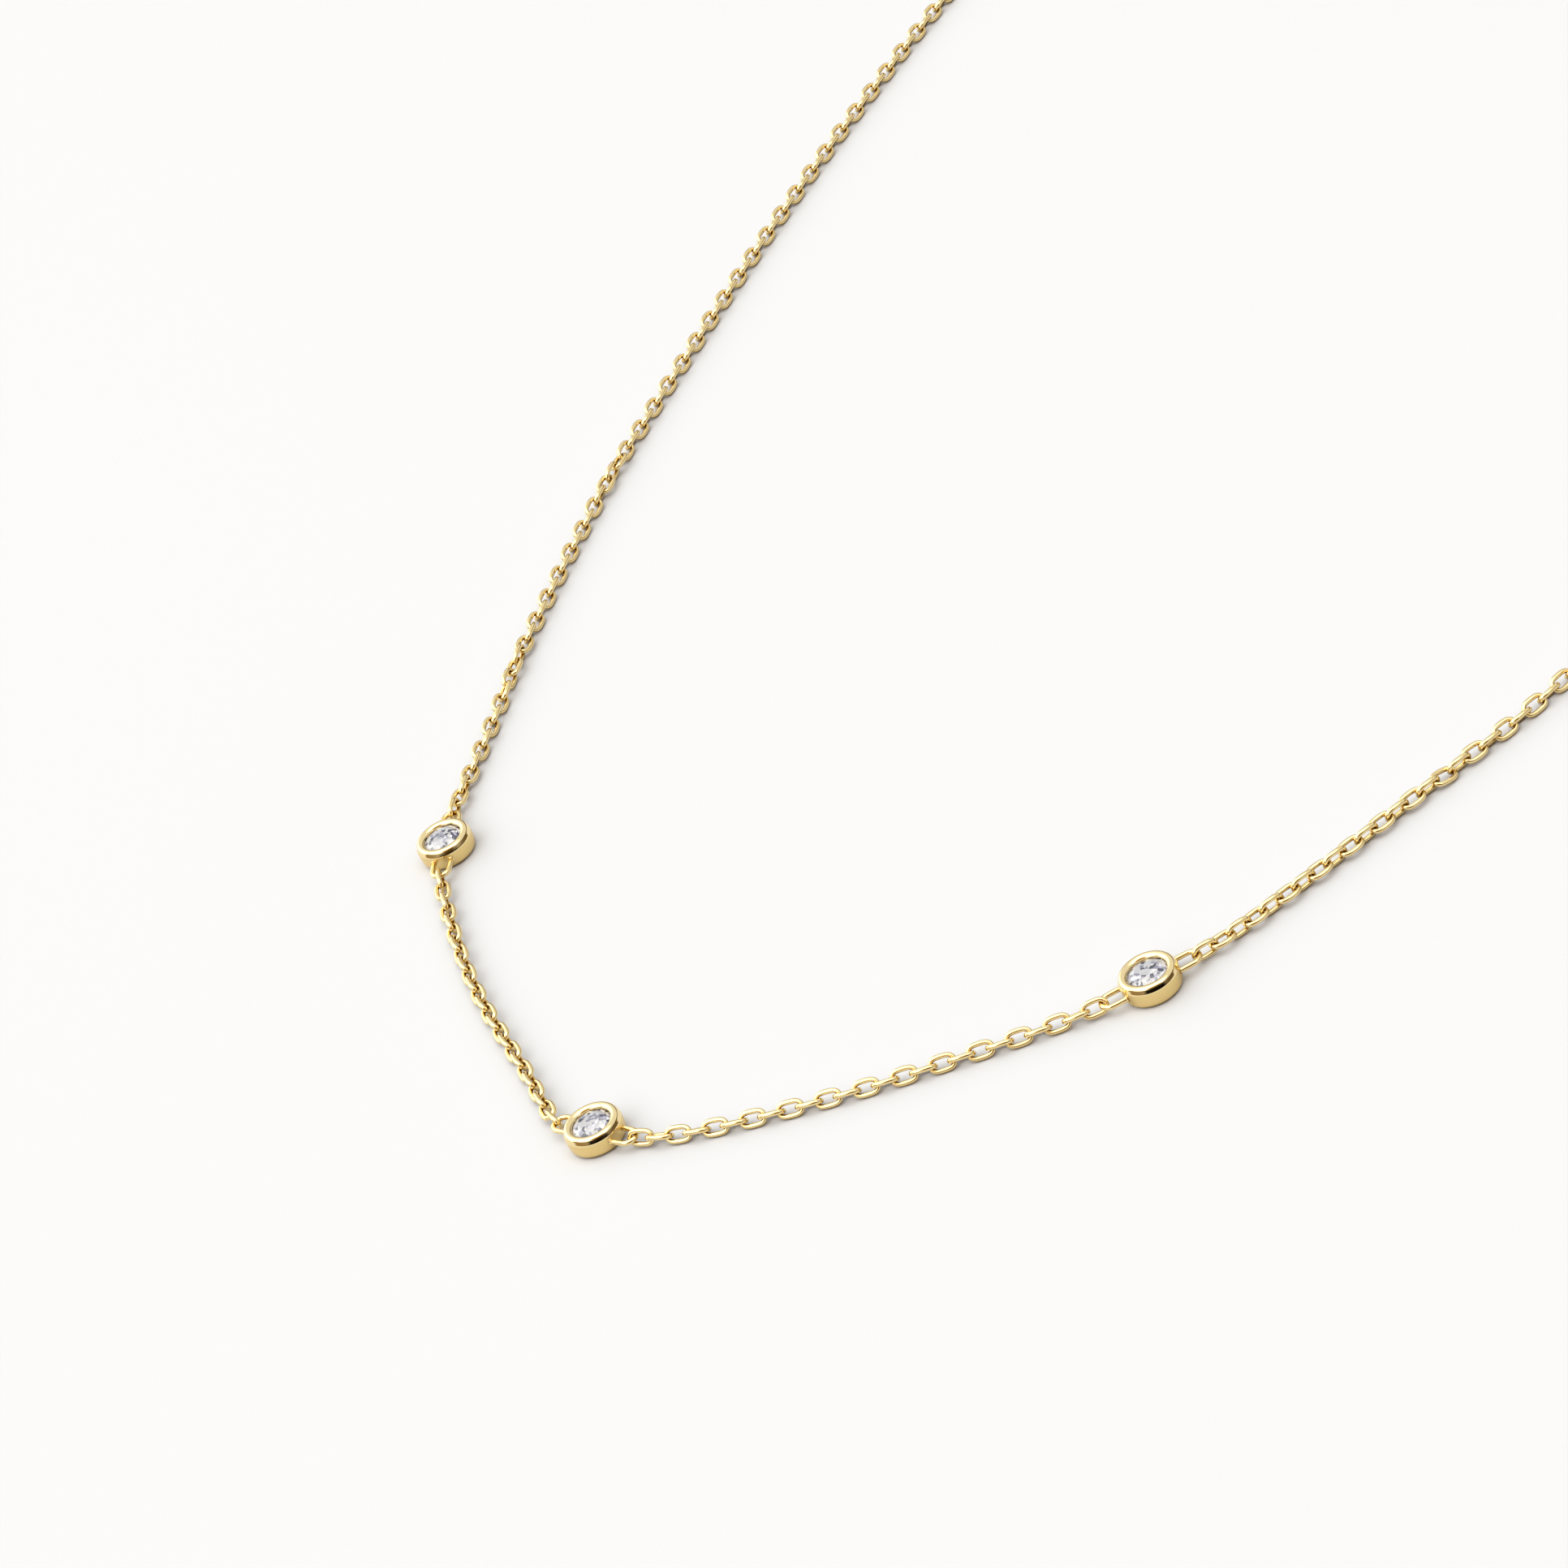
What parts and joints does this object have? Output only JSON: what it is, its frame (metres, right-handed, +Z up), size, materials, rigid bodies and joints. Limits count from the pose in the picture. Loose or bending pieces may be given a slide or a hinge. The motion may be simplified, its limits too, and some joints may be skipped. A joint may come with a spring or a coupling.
{
  "type": "station necklace",
  "caption": "Fine cable chain necklace with small round bezel-set clear stones spaced along its front, lying flat in a closed loop.",
  "frame": {"origin": "on the surface that the necklace lies on, under the middle of its outline", "axes": "+Z up from the surface, +Y along the longest extent of the outline towards the closed end, +X across it, from the stations towards the plain back"},
  "size_m": [0.1312, 0.1553, 0.0025],
  "materials": {
    "gold": "polished yellow gold",
    "stone": "clear faceted stone"
  },
  "bodies": {
    "root": {"setting_left": "gold", "setting_middle": "gold", "setting_right": "gold", "stone_left": "stone", "stone_middle": "stone", "stone_right": "stone", "chain_left": "gold", "chain_front_left": "gold", "chain_front_right": "gold", "chain_right": "gold", "back_left": "gold", "back_right": "gold", "clasp": "gold", "end_ring": "gold"}
  },
  "joints": []
}
